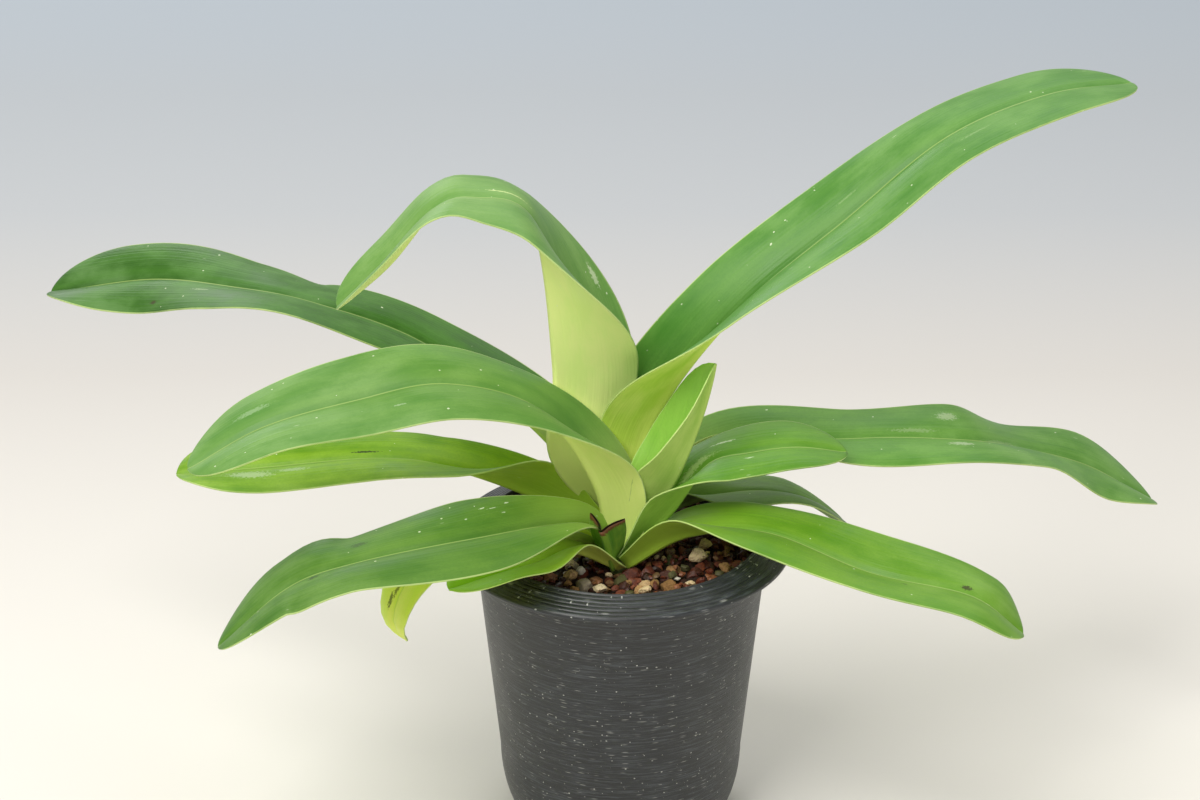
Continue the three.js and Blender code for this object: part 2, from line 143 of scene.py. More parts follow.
# heading is the direction that a leaf leaves the stem in, in degrees from +X towards +Y, and tip
# is the part of its length that is rounded off. Each station from the stem to the tip has the
# midrib's x, y and z, the roll about the midrib, the fold of each half and the full width.
LEAVES = {
    "leaf_centre_arched": {
        "heading": 186,
        "tip": 0.25,
        "stations": [
            (0, 9, 104, -8, 84, 12),
            (-24, 11, 133, -5, 72, 30),
            (-23, 8, 169, 3, 81, 58),
            (-30, 5, 225, -2, 0, 46),
            (-50, 4, 234, -3, 0, 37),
            (-63, 3, 230, 2, 9, 34),
            (-79, 1, 211, 2, 20, 34),
            (-97, 6, 193, -10, 25, 34),
        ],
    },
    "leaf_upper_right": {
        "heading": 20,
        "tip": 0.14,
        "stations": [
            (6, 9, 105, -26, 67, 16),
            (10, 10, 145, -20, 76, 37),
            (38, 6, 190, 5, 33, 38),
            (77, 18, 221, 10, 12, 40),
            (111, 30, 246, 7, 2, 37),
            (148, 54, 253, 3, 1, 38),
            (180, 72, 251, 2, 8, 38),
        ],
    },
    "leaf_short_upright": {
        "heading": 8,
        "tip": 0.4,
        "stations": [
            (0, -6, 104, -9, 80, 8),
            (9, -5, 117, -6, 80, 18),
            (17, -4, 129, -1, 75, 32),
            (23, -3, 143, 4, 57, 31),
            (28, -2, 158, 10, 49, 27),
            (32, -3, 176, 12, 39, 25),
        ],
    },
    "leaf_front_left": {
        "heading": 196,
        "tip": 0.14,
        "stations": [
            (-5, -6, 104, -15, 70, 24),
            (-9, -6, 131, -2, 63, 34),
            (-28, -14, 164, -10, 9, 35),
            (-59, -24, 178, -19, 3, 37),
            (-89, -31, 175, -21, 6, 37),
            (-119, -39, 169, -9, 5, 36),
            (-144, -44, 156, 0, 3, 36),
        ],
    },
    "leaf_short_right": {
        "heading": 2,
        "tip": 0.22,
        "stations": [
            (1, -8, 104, 13, 49, 14),
            (17, -5, 120, 5, 63, 27),
            (30, -1, 137, 6, 3, 29),
            (45, 0, 141, 10, 3, 30),
            (61, -2, 144, 7, 3, 30),
            (78, 0, 141, 1, 9, 30),
        ],
    },
    "leaf_back_left": {
        "heading": 152,
        "tip": 0.12,
        "stations": [
            (-4, 12, 104, 3, 69, 14),
            (-27, 32, 131, 7, 47, 33),
            (-69, 53, 158, 4, 10, 33),
            (-109, 48, 177, 7, 1, 34),
            (-140, 63, 177, -8, 1, 35),
            (-173, 87, 170, -28, 3, 35),
            (-213, 103, 158, -12, 24, 34),
        ],
    },
    "leaf_far_right": {
        "heading": 20,
        "tip": 0.16,
        "stations": [
            (6, 9, 104, -13, 63, 14),
            (35, 25, 129, -13, 43, 32),
            (84, 22, 136, 9, 2, 34),
            (122, 27, 133, 13, 10, 35),
            (147, 47, 120, 2, 4, 34),
            (174, 63, 105, 20, 2, 35),
            (200, 74, 85, 4, 15, 34),
        ],
    },
    "leaf_mid_left": {
        "heading": 172,
        "tip": 0.12,
        "stations": [
            (-6, 4, 104, 15, 81, 15),
            (-31, 12, 118, 31, 57, 31),
            (-62, 8, 132, 2, 13, 32),
            (-87, 12, 133, -7, 3, 32),
            (-125, 11, 130, -12, 3, 32),
            (-156, 9, 128, -3, 16, 32),
        ],
    },
    "leaf_low_left": {
        "heading": 210,
        "tip": 0.16,
        "stations": [
            (-5, -5, 107, -69, 36, 9),
            (-16, -17, 122, -16, 32, 18),
            (-50, -50, 133, -14, 3, 37),
            (-89, -58, 128, 4, -1, 35),
            (-112, -55, 117, 9, 3, 34),
            (-135, -61, 98, 21, 3, 34),
        ],
    },
    "leaf_low_right": {
        "heading": -24,
        "tip": 0.12,
        "stations": [
            (2, -13, 103, -8, 41, 14),
            (23, -12, 115, -11, 34, 28),
            (50, -24, 122, 1, 5, 33),
            (84, -38, 114, 6, 15, 35),
            (117, -55, 114, -2, 3, 34),
            (134, -58, 101, -17, 14, 34),
        ],
    },
    "leaf_small_front": {
        "heading": 215,
        "tip": 0.2,
        "stations": [
            (-1, -14, 103, -2, 26, 10),
            (-17, -20, 113, 14, 20, 20),
            (-30, -35, 116, 7, 3, 23),
            (-41, -44, 117, 4, 11, 24),
            (-58, -52, 115, 2, 12, 24),
        ],
    },
    "leaf_back_right": {
        "heading": 22,
        "tip": 0.25,
        "stations": [
            (6, 13, 104, -5, 52, 16),
            (22, 23, 109, -8, 44, 25),
            (42, 24, 114, -3, 3, 27),
            (62, 25, 112, -2, 6, 27),
            (81, 30, 98, 0, 9, 27),
        ],
    },
    "leaf_hanging": {
        "heading": 206,
        "tip": 0.4,
        "stations": [
            (-5, -4, 104, 1, 65, 8),
            (-28, -15, 116, -1, 46, 17),
            (-53, -26, 119, -4, 20, 22),
            (-72, -32, 109, -9, 4, 22),
            (-78, -37, 96, -10, 3, 22),
            (-74, -34, 86, -12, 19, 20),
        ],
    },
    "cut_leaf_base": {
        "heading": 235,
        "tip": 0,
        "stations": [
            (-3, -15, 103, 36, 60, 13),
            (-5, -20, 115, 26, 44, 17),
            (-7, -24, 123, 10, 44, 18),
        ],
    },
}

# top and light are the greens of a leaf's upper side, low and pale those of its underside. foot is
# the length over which its stem end pales, cut the length at which it was cut off, slot the kind of
# skin it is listed as. Each of its marks has the way from the stem, the way off the midrib, half the
# length, half the width, the colour and the strength of one scar.
# low and pale hold the underside's own paler green, brightened with painted glow of light shining
# through the blade
GREENS = {"top": "4f8a38", "light": "79ab52", "low": "8fb545", "pale": "c6d780"}

LOOKS = {
    "leaf_centre_arched": {
        "top": "568938",
        "light": "80a853",
        "low": "def391",
        "pale": "e8f59a",
        "foot": 48,
        "marks": [
            (101, -23, 4.5, 1.3, "c3d3aa", 0.75),
            (143, -4.1, 9, 0.35, "d3e39c", 0.8),
            (158, 4, 6, 0.5, "a5bf85", 0.4),
        ],
    },
    "leaf_upper_right": {
        "top": "417a26",
        "light": "64973a",
        "low": "bbe244",
        "pale": "e2f578",
        "foot": 60,
        "marks": [
            (196, -8, 7, 0.6, "8fb070", 0.4),
            (150, 6, 5, 0.4, "8fb070", 0.4),
        ],
    },
    "leaf_short_upright": {
        "top": "84bb41",
        "light": "a0d053",
        "low": "a6cc58",
        "pale": "c9e07a",
        "foot": 50,
    },
    "leaf_front_left": {
        "top": "4e8132",
        "light": "759f48",
        "low": "dcf77a",
        "pale": "ecfa90",
        "foot": 55,
        "marks": [
            (167, -8, 7, 1.2, "a9c39a", 0.35),
            (120, 9, 3, 0.4, "b9cfa8", 0.4),
        ],
    },
    "leaf_short_right": {
        "top": "467d19",
        "light": "6c9b27",
        "low": "6a9a24",
        "pale": "a0c850",
        "foot": 40,
        "marks": [
            (40, 3, 9, 1.6, "b7cc8a", 0.45),
            (52, 7, 4, 0.5, "d6e2c4", 0.6),
            (60, -5, 2, 0.5, "d6e2c4", 0.6),
        ],
    },
    "leaf_back_left": {
        "top": "28550a",
        "light": "467d1a",
        "low": "7aa52c",
        "pale": "a6cc3c",
        "marks": [
            (204.6, 13.2, 2, 1, "3c3418", 0.85),
            (234, 1.3, 9, 0.5, "3f5a24", 0.7),
            (185, 6, 5, 0.5, "b9c9a0", 0.4),
        ],
    },
    "leaf_far_right": {
        "top": "447c22",
        "light": "75a545",
        "marks": [
            (126, 10, 5, 2.2, "a9bd94", 0.65),
            (127, -5.7, 5, 1.6, "b2c4a0", 0.65),
            (112, 3, 9, 1, "9fb488", 0.4),
            (150, 0, 12, 1.2, "9fb488", 0.35),
        ],
    },
    "leaf_mid_left": {
        "top": "4d8106",
        "light": "90b520",
        "low": "86b42c",
        "pale": "aed044",
        "marks": [
            (93.1, -2.8, 5.5, 0.5, "24360f", 0.9),
            (133, 6.4, 9, 2.4, "b4c6a4", 0.5),
            (118, 5, 6, 1.2, "b4c6a4", 0.4),
        ],
    },
    "leaf_low_left": {
        "top": "386917",
        "light": "628b2b",
        "low": "98c840",
        "pale": "b8dc58",
        "marks": [
            (126, 2.6, 2.6, 1.1, "2c4418", 0.8),
            (110, -8.8, 3.2, 1.4, "33501c", 0.7),
            (61, -11.1, 1.8, 0.3, "dce8cc", 0.7),
            (50, -11.1, 1.1, 0.35, "dce8cc", 0.7),
            (54, -7.5, 0.8, 0.3, "dce8cc", 0.6),
            (57, -10.2, 2.2, 0.2, "dce8cc", 0.6),
            (70, -8, 0.7, 0.3, "dce8cc", 0.6),
        ],
    },
    "leaf_low_right": {
        "top": "4c8211",
        "light": "76a028",
        "low": "7fa824",
        "pale": "a2c43e",
        "marks": [
            (127, 2.6, 2.2, 1.2, "33300f", 0.85),
            (108, -6, 1.5, 0.7, "3f5a1c", 0.6),
        ],
    },
    "leaf_small_front": {
        "top": "98cc2c",
        "light": "b2dc42",
        "low": "b8d848",
        "pale": "cfe060",
        "slot": "leaf_yellow_green",
    },
    "leaf_back_right": {
        "top": "466d25",
        "light": "79a147",
        "low": "5f8040",
        "pale": "7f9a50",
        "slot": "leaf_dark_green",
    },
    "leaf_hanging": {
        "top": "cfec43",
        "light": "ecec76",
        "low": "b2cc44",
        "pale": "d0e070",
        "slot": "leaf_yellow_green",
        "marks": [
            (88.3, -2.7, 3.2, 0.9, "3a4614", 0.75),
            (84.5, -1.7, 3, 0.6, "3a4614", 0.7),
            (78, 0.5, 4, 0.5, "4e5c1c", 0.6),
        ],
    },
    "cut_leaf_base": {
        "top": "5a8f2a",
        "light": "76a636",
        "low": "4a8620",
        "pale": "86b03a",
        "foot": 8,
        "cut": 21,
    },
}

# How close the markings of a skin stand, along the leaf and across it
LEAF_APART = 37.0  # sets the markings of two leaves apart
BANDS = (0.014, 0.23, 1.0)
STREAKS = (0.02, 1.5, 1.0)
CLOUDS = (0.045, 0.09, 1.0)
GRIT = (1.1, 1.6, 1.0)
DOTS = (0.2, 0.28, 1.0)
DASHES = (0.05, 0.4, 1.0)
VEINS = (0.01, 1.1, 1.0)

# Colours that all leaves share
# The next colour is a painted whitish sheen of light glancing off the leaves' upper sides
PAINTED_SHEEN = "a3bd93"
MIDRIB_LINE = "b9cf7c"
MARGIN = "c4d98a"
SPECK = "dfe8c8"
DRIED_EDGE = "6b4426"

# Stage
STAGE_SIZE = 12
STAGE_PLACE = (0, 3, 0)
STAGE_DEPTH = 1.05  # distance behind the pot at which the last floor colour is reached
STAGE_COLOURS = [
    (0.0, "dfdcd6"),
    (0.3, "c6c3bf"),
    (0.6, "b3b6b9"),
    (0.85, "abb0b5"),
    (1.0, "a8b0b8"),
]
SKY_COLOUR = (1.0, 0.99, 0.97, 1)
SKY_STRENGTH = 0.46
LAMP_AIM = (0, 0, 0.12)

# Lamps: name, place in metres, size, power and colour
LAMPS = [
    ("key", (-0.95, -1.05, 2.2), 1.6, 60, (1.0, 0.98, 0.94)),
    ("fill", (1.2, -1.1, 0.7), 1.2, 4, (1.0, 0.99, 0.97)),
    ("back", (0.3, 1.0, 1.6), 1.4, 10, (1.0, 1.0, 1.0)),
    ("gloss", (-0.8, 1.7, 0.95), 0.8, 6, (0.97, 0.99, 1.0)),
]

# Camera, in metres
CAMERA_PLACE = (-0.00746, -0.9695, 0.6058)
CAMERA_DOWN = 0.43006  # radians below the level
SENSOR_WIDTH = 36
LENS = 93
CLIP_END = 50


# Helpers


def linear(code):
    """The linear colour of a hex code."""
    values = [int(code[i : i + 2], 16) / 255 for i in (0, 2, 4)]
    return [v / 12.92 if v <= 0.04045 else ((v + 0.055) / 1.055) ** 2.4 for v in values]


def rgba(code):
    return (*linear(code), 1.0)


def metres(x, y, z):
    return (x * MM, y * MM, z * MM)


def new_piece(name, points, faces):
    mesh = bpy.data.meshes.new(name)
    mesh.from_pydata(points, [], faces)
    piece = bpy.data.objects.new(name, mesh)
    bpy.context.collection.objects.link(piece)
    return piece


# Surfaces


class Nodes:
    """The layers of one surface: values over the surface, and how they make colour and relief."""

    def __init__(self, name):
        self.material = bpy.data.materials.new(name)
        self.material.use_nodes = True
        self.tree = self.material.node_tree
        self.shader = self.tree.nodes["Principled BSDF"]

    def add(self, kind, **settings):
        node = self.tree.nodes.new(kind)
        for key, value in settings.items():
            setattr(node, key, value)
        return node

    def link(self, source, target):
        self.tree.links.new(source, target)

    def put(self, socket, value):
        if isinstance(value, bpy.types.NodeSocket):
            self.link(value, socket)
        else:
            socket.default_value = value

    def attribute(self, name):
        return self.add("ShaderNodeAttribute", attribute_name=name).outputs["Fac"]

    def math(self, operation, a, b=0.0, clamp=False):
        node = self.add("ShaderNodeMath", operation=operation, use_clamp=clamp)
        self.put(node.inputs[0], a)
        self.put(node.inputs[1], b)
        return node.outputs[0]

    def ramp(self, value, low, high, to_low=0.0, to_high=1.0):
        """value read between low and high as to_low to to_high, held outside them and smooth."""
        node = self.add("ShaderNodeMapRange", interpolation_type="SMOOTHSTEP")
        self.put(node.inputs["Value"], value)
        node.inputs["From Min"].default_value = low
        node.inputs["From Max"].default_value = high
        node.inputs["To Min"].default_value = to_low
        node.inputs["To Max"].default_value = to_high
        return node.outputs["Result"]

    def vector(self, x, y, z):
        node = self.add("ShaderNodeCombineXYZ")
        for socket, value in zip(node.inputs, (x, y, z)):
            self.put(socket, value)
        return node.outputs[0]

    def split(self, vector):
        node = self.add("ShaderNodeSeparateXYZ")
        self.link(vector, node.inputs[0])
        return node.outputs

    def place(self):
        return self.add("ShaderNodeTexCoord").outputs["Object"]

    def scaled(self, vector, scale):
        node = self.add("ShaderNodeVectorMath", operation="MULTIPLY")
        self.put(node.inputs[0], vector)
        node.inputs[1].default_value = scale
        return node.outputs[0]

    def noise(self, vector, scale, detail, rough):
        """Cloudy values from 0 to 1, scale times as close as the vector alone would set them."""
        node = self.add("ShaderNodeTexNoise")
        self.put(node.inputs["Vector"], self.scaled(vector, scale))
        node.inputs["Scale"].default_value = 1.0
        node.inputs["Detail"].default_value = detail
        node.inputs["Roughness"].default_value = rough
        return node.outputs["Fac"]

    def cells(self, vector, scale):
        """The distance to the nearest cell's middle and two random numbers of that cell."""
        node = self.add("ShaderNodeTexVoronoi")
        self.put(node.inputs["Vector"], self.scaled(vector, scale))
        node.inputs["Scale"].default_value = 1.0
        node.inputs["Randomness"].default_value = 1.0
        colour = self.add("ShaderNodeSeparateColor")
        self.link(node.outputs["Color"], colour.inputs[0])
        return node.outputs["Distance"], colour.outputs[0], colour.outputs[1]

    def mix(self, factor, a, b):
        node = self.add("ShaderNodeMix", data_type="RGBA")
        self.put(node.inputs[0], factor)
        self.put(node.inputs[6], a)
        self.put(node.inputs[7], b)
        return node.outputs[2]

    def colours(self, factor, stops):
        node = self.add("ShaderNodeValToRGB")
        ramp = node.color_ramp
        while len(ramp.elements) < len(stops):
            ramp.elements.new(0.5)
        for element, (at, code) in zip(ramp.elements, stops):
            element.position = at
            element.color = rgba(code)
        self.put(node.inputs[0], factor)
        return node.outputs["Color"]

    def bump(self, height, strength, distance, under=None):
        node = self.add("ShaderNodeBump")
        node.inputs["Strength"].default_value = strength
        node.inputs["Distance"].default_value = distance
        self.put(node.inputs["Height"], height)
        if under is not None:
            self.link(under, node.inputs["Normal"])
        return node.outputs["Normal"]

    def finish(self, colour, rough, normal, specular):
        self.put(self.shader.inputs["Base Color"], colour)
        self.put(self.shader.inputs["Roughness"], rough)
        self.shader.inputs["Specular IOR Level"].default_value = specular
        if normal is not None:
            self.link(normal, self.shader.inputs["Normal"])
        return self.material


def times(m, *values):
    """The product of two or more values."""
    product = values[0]
    for value in values[1:]:
        product = m.math("MULTIPLY", product, value)
    return product


def upper_skin(m, fields, top, light, pale, foot):
    """The upper side: banded greens, a painted whitish sheen towards the tip, the midrib with
    painted shade in its groove, and a pale stem end.
    """
    bands, fine, cloud, grit, along, side, reach = fields
    tone = m.math(
        "ADD",
        m.ramp(bands, 0.3, 0.7, 0.3, 0.55),
        m.ramp(cloud, 0.3, 0.7, -0.22, 0.28),
        True,
    )
    skin = m.mix(tone, rgba(top), rgba(light))
    skin = m.mix(m.ramp(fine, 0.45, 0.75, 0.0, 0.14), skin, rgba(light))
    skin = m.mix(m.ramp(grit, 0.35, 0.75, 0.0, 0.3), skin, rgba(top))
    # Painted sheen: whitish cloudy patches that grow away from the stem end
    painted_sheen = times(m, m.ramp(cloud, 0.35, 0.8), m.ramp(along, foot, foot + 90, 0.0, 0.15))
    skin = m.mix(painted_sheen, skin, rgba(PAINTED_SHEEN))
    # Painted shade darkens the midrib groove
    groove = m.ramp(side, 0.0, 0.05, 1.0, 0.0)
    skin = m.mix(times(m, groove, 0.4), skin, rgba(top))
    line = m.ramp(m.math("ABSOLUTE", reach), 0.12, 0.4, 0.45, 0.0)
    skin = m.mix(line, skin, rgba(MIDRIB_LINE))
    ridge = times(m, m.ramp(side, 0.05, 0.16), m.ramp(side, 0.16, 0.34, 1.0, 0.0))
    skin = m.mix(times(m, ridge, 0.22), skin, rgba(light))
    return m.mix(m.ramp(along, 4, foot, 0.5, 0.0), skin, rgba(pale))


def lower_skin(m, fields, low, pale, foot):
    """The underside: cloudy pale greens that add painted glow of light through the blade to its own
    paler green, with a paler keel and stem end.
    """
    _, fine, cloud, _, along, side, _ = fields
    skin = m.mix(m.ramp(cloud, 0.35, 0.65), rgba(low), rgba(pale))
    skin = m.mix(m.ramp(fine, 0.4, 0.8, 0.0, 0.3), skin, rgba(low))
    keel = m.ramp(side, 0.02, 0.26, 1.0, 0.0)
    skin = m.mix(times(m, keel, 0.7), skin, rgba(pale))
    return m.mix(m.ramp(along, 0, foot * 1.3, 0.85, 0.0), skin, rgba(pale))


def leaf_specks(m, flat, under):
    """How strongly small pale dots and dashes show, less so on the underside."""
    near, chance, size = m.cells(flat, DOTS)
    dot = m.math("LESS_THAN", near, m.ramp(size, 0.0, 1.0, 0.035, 0.085))
    dot = times(m, dot, m.ramp(chance, 0.56, 0.6))
    near, chance, _ = m.cells(flat, DASHES)
    dash = times(m, m.ramp(near, 0.03, 0.07, 1.0, 0.0), m.ramp(chance, 0.72, 0.76))
    spots = m.math("MAXIMUM", dot, times(m, dash, 0.55))
    return times(m, spots, 0.75, m.ramp(under, 0.3, 0.6, 1.0, 0.35))


def scar(m, fields, under, mark):
    """How strongly one ragged scar of the upper side shows."""
    _, _, _, grit, along, _, reach = fields
    at, off, long, wide, _, strength = mark
    dx = m.math("DIVIDE", m.math("SUBTRACT", along, at), long)
    dy = m.math("DIVIDE", m.math("SUBTRACT", reach, off), wide)
    gap = m.math("SQRT", m.math("ADD", times(m, dx, dx), times(m, dy, dy)))
    ragged = m.math("ADD", gap, m.ramp(grit, 0.2, 0.8, -0.55, 0.55))
    patch = m.ramp(ragged, 0.55, 1.0, 1.0, 0.0)
    return times(m, patch, strength, m.ramp(under, 0.3, 0.6, 1.0, 0.0))


def leaf_material(name, seed, top, light, low, pale, foot=60, marks=(), cut=0):
    """A leaf's skin on both sides, with its margin, specks, scars and dried cut."""
    m = Nodes(name)
    along = m.attribute("along")
    under = m.attribute("under")
    reach = m.attribute("reach")
    side = m.math("ABSOLUTE", m.attribute("across"))
    flat = m.vector(along, reach, seed * LEAF_APART)
    bands = m.noise(flat, BANDS, 3.0, 0.55)
    fine = m.noise(flat, STREAKS, 2.0, 0.6)
    cloud = m.noise(flat, CLOUDS, 4.0, 0.6)
    grit = m.noise(flat, GRIT, 3.0, 0.65)
    fields = (bands, fine, cloud, grit, along, side, reach)

    upper = upper_skin(m, fields, top, light, pale, foot)
    lower = lower_skin(m, fields, low, pale, foot)
    skin = m.mix(m.ramp(under, 0.35, 0.65), upper, lower)
    edge = times(m, m.ramp(side, 0.975, 0.992), m.ramp(cloud, 0.3, 0.6, 0.35, 0.75))
    skin = m.mix(edge, skin, rgba(MARGIN))
    spots = leaf_specks(m, flat, under)
    skin = m.mix(spots, skin, rgba(SPECK))
    for mark in marks:
        skin = m.mix(scar(m, fields, under, mark), skin, rgba(mark[4]))
    if cut:
        ragged = m.math("ADD", along, m.ramp(grit, 0.2, 0.8, -1.2, 1.2))
        skin = m.mix(m.ramp(ragged, cut - 1.8, cut - 0.4), skin, rgba(DRIED_EDGE))

    rough = m.math("ADD", m.ramp(cloud, 0.3, 0.7, 0.365, 0.54), times(m, spots, 0.25))
    normal = m.bump(m.noise(flat, VEINS, 1.0, 0.5), 0.35, 0.0004)
    normal = m.bump(grit, 0.12, 0.0002, normal)
    m.finish(skin, rough, normal, 0.3)
    m.shader.inputs["Sheen Weight"].default_value = 0.03
    m.shader.inputs["Sheen Roughness"].default_value = 0.5
    return m.material


# Leaf geometry


def catmull(values, at):
    """Catmull-Rom through values at the places at, which run from 0 to len(values) - 1."""
    v = np.asarray(values, float)
    v = np.concatenate([2 * v[:1] - v[1:2], v, 2 * v[-1:] - v[-2:-1]])
    i = np.clip(np.floor(at).astype(int), 0, len(values) - 2)
    f = at - i
    if v.ndim > 1:
        f = f[:, None]
    a, b, c, d = v[i], v[i + 1], v[i + 2], v[i + 3]
    square = 2 * a - 5 * b + 4 * c - d
    cube = 3 * b - a - 3 * c + d
    return 0.5 * (2 * b + (c - a) * f + square * f**2 + cube * f**3)


def unit(vectors):
    return vectors / np.linalg.norm(vectors, axis=-1, keepdims=True)


def leaf_sections(leaf, rows):
    """Each row's centre, across and up directions, fold, half width and way from the stem."""
    stations = np.array(leaf["stations"], float)
    midrib = stations[:, :3]
    last = len(stations) - 1
    fine = np.linspace(0, last, FINE_STEPS)
    steps = np.linalg.norm(np.diff(catmull(midrib, fine), axis=0), axis=1)
    run = np.concatenate([[0], np.cumsum(steps)])
    body = 1 - leaf["tip"] * 0.7
    tip_rows = rows // 4
    reached = np.concatenate(
        [
            np.linspace(0, body, rows - tip_rows, endpoint=False),
            body + (1 - body) * np.sin(np.linspace(0, math.pi / 2, tip_rows)),
        ]
    )
    at = np.interp(reached * run[-1], run, fine)
    step = 1e-3
    ahead = catmull(midrib, np.minimum(at + step, last))
    behind = catmull(midrib, np.maximum(at - step, 0))
    along = unit(ahead - behind)
    heading = math.radians(leaf["heading"])
    left = np.array([-math.sin(heading), math.cos(heading), 0.0])
    left = unit(left - (along @ left)[:, None] * along)
    up = np.cross(along, left)
    roll = np.radians(catmull(stations[:, 3], at))[:, None]
    across = left * np.cos(roll) + up * np.sin(roll)
    up = up * np.cos(roll) - left * np.sin(roll)
    fold = np.radians(catmull(stations[:, 4], at))
    end = 0 * reached
    if leaf["tip"]:
        end = np.clip((reached - (1 - leaf["tip"])) / leaf["tip"], 0, 1)
    half = 0.5 * catmull(stations[:, 5], at) * np.sqrt(1 - end**2)
    return catmull(midrib, at), across, up, fold, np.maximum(half, LEAST_HALF), reached * run[-1]


def leaf_mesh(name, leaf, rows, seed):
    centre, across, up, fold, half, run = leaf_sections(leaf, rows)
    v = SPREAD[None, :]
    size = np.abs(v)
    cosine, sine = np.cos(fold)[:, None], np.sin(fold)[:, None]
    reach = half[:, None] * size
    arch = HALF_BLADE_ARCH * half[:, None] * cosine * 4 * size * (1 - size)
    ripple = np.array(
        [
            [noise.noise(Vector((r / WAVE_LENGTH, 1.7 * side + seed * 9, seed))) for side in (-1, 1)]
            for r in run
        ]
    )
    sway = np.where(v < 0, ripple[:, :1], ripple[:, 1:]) * MARGIN_WAVE * size**2
    sway = sway * np.minimum(run / WAVE_START, 1)[:, None]
    out = np.sign(v) * (reach * cosine - arch * sine)
    rise = reach * sine + arch * cosine + sway
    middle = centre[:, None] + across[:, None] * out[..., None] + up[:, None] * rise[..., None]

    normal = unit(np.cross(np.gradient(middle, axis=0), np.gradient(middle, axis=1)))
    thick = BLADE_HALF_THICKNESS * (1 - MARGIN_THINNING * size**4)
    depth = np.minimum(half / NARROW_HALF, 1)[:, None]
    groove = GROOVE_DEPTH * np.exp(-((reach / GROOVE_REACH) ** 2)) * depth
    keel = KEEL_HEIGHT * np.exp(-((reach / KEEL_REACH) ** 2)) * depth
    top = middle + normal * (thick - groove)[..., None]
    low = middle - normal * (thick + keel)[..., None]
    return shell(name, top, low, run, v, half)


def shell(name, top, low, run, v, half):
    """A closed blade from its upper and lower grids, with the values that its skin reads."""
    rows, columns = top.shape[:2]
    points = np.concatenate([top.reshape(-1, 3), low.reshape(-1, 3)]) * MM
    base = rows * columns
    faces = []
    for i in range(rows - 1):
        for j in range(columns - 1):
            a = i * columns + j
            b = a + columns
            faces.append((a, b, b + 1, a + 1))
            faces.append((base + a, base + a + 1, base + b + 1, base + b))
        a = i * columns
        b = a + columns
        faces.append((a, base + a, base + b, b))
        a += columns - 1
        b += columns - 1
        faces.append((a, b, base + b, base + a))
    for i, turn in ((0, False), (rows - 1, True)):
        for j in range(columns - 1):
            a = i * columns + j
            face = (a, a + 1, base + a + 1, base + a)
            faces.append(face[::-1] if turn else face)
    piece = new_piece(name, [tuple(p) for p in points], faces)
    mesh = piece.data
    values = {
        "across": np.broadcast_to(v, (rows, columns)),
        "along": np.broadcast_to(run[:, None], (rows, columns)),
        "reach": v * half[:, None],
    }
    for key, grid in values.items():
        both_sides = np.tile(np.ascontiguousarray(grid).ravel(), 2)
        layer = mesh.attributes.new(key, "FLOAT", "POINT")
        layer.data.foreach_set("value", both_sides.astype(np.float32))
    layer = mesh.attributes.new("under", "FLOAT", "POINT")
    layer.data.foreach_set("value", np.repeat([0.0, 1.0], base).astype(np.float32))
    mesh.shade_smooth()
    return piece


def add_leaves():
    for seed, (name, leaf) in enumerate(LEAVES.items(), 1):
        look = LOOKS[name]
        length = leaf_sections(leaf, FEWEST_ROWS)[5][-1]
        rows = max(FEWEST_ROWS, int(length / ROW_SPACING))
        piece = leaf_mesh(name + "_blade", leaf, rows, seed)
        colours = {key: look.get(key, GREENS[key]) for key in GREENS}
        extra = {key: look[key] for key in ("foot", "marks", "cut") if key in look}
        piece.data.materials.append(leaf_material(name + "_skin", seed, **colours, **extra))
        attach(piece, "root")
        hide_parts(name)


# Pot


def body_radius(z):
    slope = (BODY_TOP_RADIUS - BODY_LOW_RADIUS) / (BODY_TOP_Z - BODY_LOW_Z)
    return BODY_LOW_RADIUS + slope * (z - BODY_LOW_Z)


def flange_z(radius):
    slope = (RIM_TOP_Z - RIM_EDGE_Z) / (RIM_RADIUS - RIM_INNER_RADIUS)
    return RIM_TOP_Z - slope * (radius - RIM_INNER_RADIUS)


def foot_profile(inset, floor_z):
    """The rounded foot from the floor up to the wall, set in by inset."""
    profile = []
    for i in range(FOOT_STEPS + 1):
        angle = math.pi / 2 * i / FOOT_STEPS
        radius = BASE_RADIUS + (BODY_LOW_RADIUS - BASE_RADIUS) * math.sin(angle)
        profile.append((radius - inset, floor_z + (BODY_LOW_Z - floor_z) * (1 - math.cos(angle))))
    return profile


def pot_profile():
    """Radius and height from the foot up the outside, over the flange and down the inside."""
    outside = foot_profile(0, 0)
    for i in range(1, BODY_STEPS + 1):
        z = BODY_LOW_Z + (BODY_END_Z - BODY_LOW_Z) * i / BODY_STEPS
        outside.append((body_radius(z), z))
    outside += [
        (BODY_TOP_RADIUS + 0.35, BODY_TOP_Z - 0.15),
        (BODY_TOP_RADIUS + 1.2, BODY_TOP_Z + 0.1),
        (RIM_RADIUS - 2.2, RIM_EDGE_Z - 2.5),
        (RIM_RADIUS - 1.0, RIM_EDGE_Z - 2.3),
        (RIM_RADIUS - 0.3, RIM_EDGE_Z - 1.7),
        (RIM_RADIUS, RIM_EDGE_Z - 1.0),
        (RIM_RADIUS - 0.05, RIM_EDGE_Z - 0.4),
        (RIM_RADIUS - 0.5, RIM_EDGE_Z + 0.15),
    ]
    top = []
    for ring in RIM_RINGS:
        for offset, drop in RING_SECTION:
            top.append((ring + offset, flange_z(ring + offset) - drop))
    inside = [
        (RIM_INNER_RADIUS + 0.6, RIM_TOP_Z - 0.1),
        (RIM_INNER_RADIUS + 0.15, RIM_TOP_Z - 0.25),
        (RIM_INNER_RADIUS, RIM_TOP_Z - 0.7),
        (RIM_INNER_RADIUS + 0.1, RIM_TOP_Z - 2.5),
        (body_radius(BODY_TOP_Z) - WALL, BODY_TOP_Z),
        (body_radius(70) - WALL, 70),
    ]
    return outside + top + inside + foot_profile(WALL, FLOOR)[::-1]


